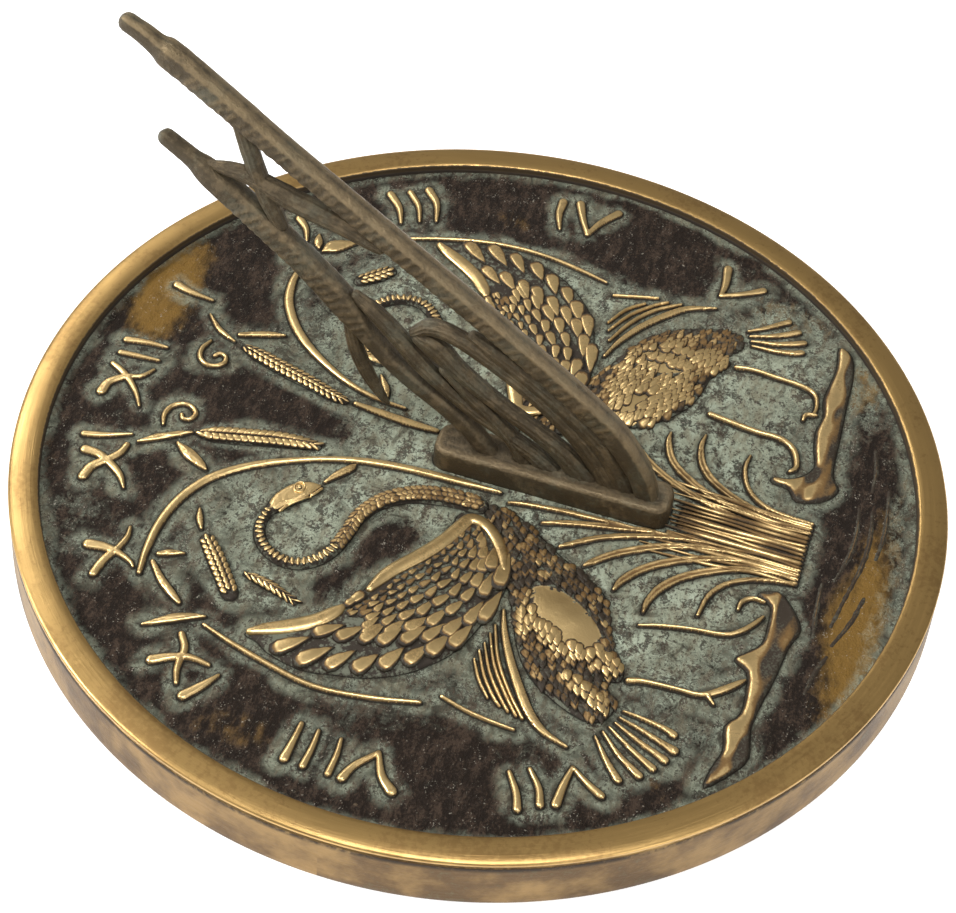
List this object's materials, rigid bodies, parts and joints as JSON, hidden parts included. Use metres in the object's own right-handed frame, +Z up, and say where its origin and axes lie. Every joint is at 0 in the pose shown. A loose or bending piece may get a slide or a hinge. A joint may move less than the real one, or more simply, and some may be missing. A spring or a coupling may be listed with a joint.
{
  "type": "garden sundial",
  "caption": "Round cast-brass garden sundial with cranes, reeds and Roman hour numerals in relief, and a bulrush gnomon fixed to the plate by screws from below.",
  "frame": {"origin": "middle of the dial on its resting plane", "axes": "+Z up; +Y towards the twelve o'clock numeral (north when set); +X towards the afternoon hours"},
  "size_m": [0.254, 0.254, 0.1375],
  "materials": {
    "rim_brass": "polished band with fine scratches, tarnished skirt",
    "relief_gold": "burnished high points, dark antiqued sides",
    "patina_field": "dark brown patina with pale verdigris round the relief",
    "gnomon_bronze": "dark brown bronze patina, greenish in the recesses",
    "screw_steel": "satin"
  },
  "bodies": {
    "root": {"dial_plate": "patina_field", "dial_rim": "rim_brass", "mounting_bosses": "patina_field", "hour_numerals": "relief_gold", "crane_west_body": "relief_gold", "crane_west_neck": "relief_gold", "crane_west_wing": "relief_gold", "crane_west_plumes": "relief_gold", "crane_west_legs": "relief_gold", "crane_east_body": "relief_gold", "crane_east_neck": "relief_gold", "crane_east_wing": "relief_gold", "crane_east_plumes": "relief_gold", "crane_east_legs": "relief_gold", "reed_fan": "relief_gold", "cattails": "relief_gold", "leaves": "relief_gold", "scrolls": "relief_gold", "arching_stems": "relief_gold", "bank_west": "relief_gold", "bank_east": "relief_gold", "water_ripples": "patina_field", "gnomon_foot": "gnomon_bronze", "gnomon_stalks": "gnomon_bronze", "gnomon_screws": "screw_steel", "gnomon_washers": "screw_steel"}
  },
  "joints": []
}
